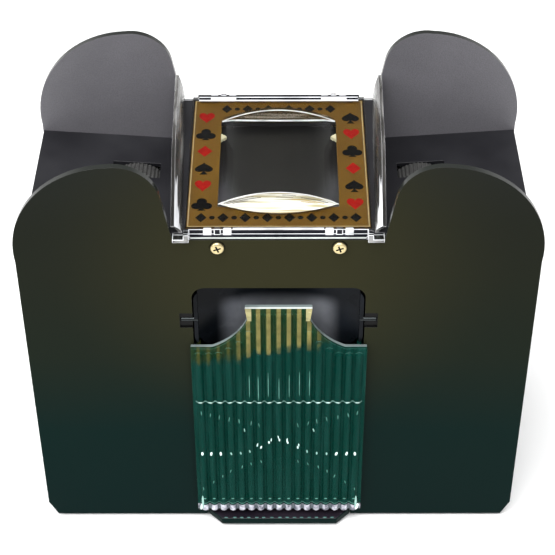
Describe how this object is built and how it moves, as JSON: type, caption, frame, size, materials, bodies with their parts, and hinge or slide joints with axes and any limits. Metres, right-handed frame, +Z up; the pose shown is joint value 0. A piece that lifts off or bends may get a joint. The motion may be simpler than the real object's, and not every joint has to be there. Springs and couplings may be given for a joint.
{
  "type": "automatic card shuffler",
  "caption": "Upright twin-bay card shuffler: motor rollers feed both bays into a centre well over a ribbed clear green tray that pulls out at the front.",
  "frame": {"origin": "centre of the bounding box at the level the rubber feet stand on", "axes": "+X to the right seen from the front, -Y out of the front where the tray slides, +Z up"},
  "size_m": [0.2112, 0.108, 0.1983],
  "materials": {
    "body_plastic": "gloss",
    "inner_plastic": "satin",
    "clear_plastic": "clear gloss",
    "green_clear": "clear green tint, ribbed",
    "gold_label": "metallic foil print",
    "ivory_plastic": "satin",
    "pin_steel": "polished",
    "foot_rubber": "matte",
    "tyre_rubber": "matte",
    "cell_jacket": "printed jacket",
    "contact_steel": "nickel plated",
    "button_plastic": "gloss",
    "board_green": "solder mask",
    "component_black": "matte",
    "screw_brass": "bright",
    "screw_steel": "blackened",
    "shaft_steel": "ground",
    "gear_nylon": "satin",
    "motor_steel": "plated",
    "cap_nylon": "satin",
    "armature_steel": "laminated",
    "pinion_brass": "cut"
  },
  "bodies": {
    "housing": {"front_panel": "body_plastic", "back_panel": "body_plastic", "base_plate": "inner_plastic", "top_frame": "inner_plastic", "card_deflector": "inner_plastic", "label_plate": "gold_label", "clear_cover": "clear_plastic", "pile_tips": "ivory_plastic", "rubber_feet": "foot_rubber", "battery_box": "inner_plastic", "battery_cells": "cell_jacket", "battery_contacts": "contact_steel", "switch_body": "inner_plastic", "circuit_board": "board_green", "board_parts": "component_black", "front_cover_screws": "screw_brass", "back_cover_screws": "screw_brass", "housing_screws": "screw_steel", "left_side_wall": "body_plastic", "left_bay_floor": "inner_plastic", "left_well_wall": "inner_plastic", "left_gate_pad": "tyre_rubber", "left_card_guide": "clear_plastic", "left_gear_pin": "shaft_steel", "left_motor_can": "motor_steel", "left_motor_cap": "cap_nylon", "left_motor_cradle": "inner_plastic", "left_motor_strap": "contact_steel", "right_side_wall": "body_plastic", "right_bay_floor": "inner_plastic", "right_well_wall": "inner_plastic", "right_gate_pad": "tyre_rubber", "right_card_guide": "clear_plastic", "right_gear_pin": "shaft_steel", "right_motor_can": "motor_steel", "right_motor_cap": "cap_nylon", "right_motor_cradle": "inner_plastic", "right_motor_strap": "contact_steel"},
    "card_tray": {"card_tray": "green_clear"},
    "card_flap": {"card_flap": "inner_plastic", "flap_pins": "pin_steel"},
    "push_button": {"push_button": "button_plastic", "button_spring": "contact_steel"},
    "battery_door": {"battery_door": "body_plastic"},
    "left_feed": {"left_feed_shaft": "shaft_steel", "left_feed_hubs": "gear_nylon", "left_feed_tyres": "tyre_rubber", "left_feed_gear": "gear_nylon"},
    "left_idler": {"left_compound_gear": "gear_nylon"},
    "left_rotor": {"left_motor_armature": "armature_steel", "left_motor_pinion": "pinion_brass"},
    "right_feed": {"right_feed_shaft": "shaft_steel", "right_feed_hubs": "gear_nylon", "right_feed_tyres": "tyre_rubber", "right_feed_gear": "gear_nylon"},
    "right_idler": {"right_compound_gear": "gear_nylon"},
    "right_rotor": {"right_motor_armature": "armature_steel", "right_motor_pinion": "pinion_brass"}
  },
  "joints": [
    {"name": "tray_slide", "type": "slide", "parent": "housing", "child": "card_tray", "axis": [0, -1, 0], "range_m": [0, 0.095]},
    {"name": "flap_hinge", "type": "hinge", "parent": "housing", "child": "card_flap", "pos_m": [0, -0.04645, 0.1203], "axis": [1, 0, 0], "range_deg": [0, 18]},
    {"name": "button_press", "type": "slide", "parent": "housing", "child": "push_button", "axis": [0, -1, 0], "range_m": [0, 0.002], "stiffness_N_per_m": 500, "springref_m": -0.003, "deforming": ["button_spring"]},
    {"name": "battery_door_hinge", "type": "hinge", "parent": "housing", "child": "battery_door", "pos_m": [0.067, 0.0502, 0.0098], "axis": [-1, 0, 0], "range_deg": [0, 95]},
    {"name": "left_feed_spin", "type": "hinge", "parent": "housing", "child": "left_feed", "pos_m": [-0.062, 0.00195, 0.1324], "axis": [0, 1, 0], "continuous": true},
    {"name": "left_idler_spin", "type": "hinge", "parent": "housing", "child": "left_idler", "pos_m": [-0.066, 0.0369, 0.11485], "axis": [0, 1, 0], "continuous": true},
    {"name": "left_rotor_spin", "type": "hinge", "parent": "housing", "child": "left_rotor", "pos_m": [-0.084, 0.0124, 0.11103], "axis": [0, 1, 0], "continuous": true},
    {"name": "right_feed_spin", "type": "hinge", "parent": "housing", "child": "right_feed", "pos_m": [0.062, 0.00195, 0.1324], "axis": [0, 1, 0], "continuous": true},
    {"name": "right_idler_spin", "type": "hinge", "parent": "housing", "child": "right_idler", "pos_m": [0.066, 0.0369, 0.11485], "axis": [0, 1, 0], "continuous": true},
    {"name": "right_rotor_spin", "type": "hinge", "parent": "housing", "child": "right_rotor", "pos_m": [0.084, 0.0124, 0.11103], "axis": [0, 1, 0], "continuous": true}
  ],
  "couplings": [
    {"joint": "left_idler_spin", "follows": "left_feed_spin", "ratio": -1.1429},
    {"joint": "left_rotor_spin", "follows": "left_feed_spin", "ratio": 4.1143},
    {"joint": "right_idler_spin", "follows": "right_feed_spin", "ratio": -1.1429},
    {"joint": "right_rotor_spin", "follows": "right_feed_spin", "ratio": 4.1143}
  ]
}
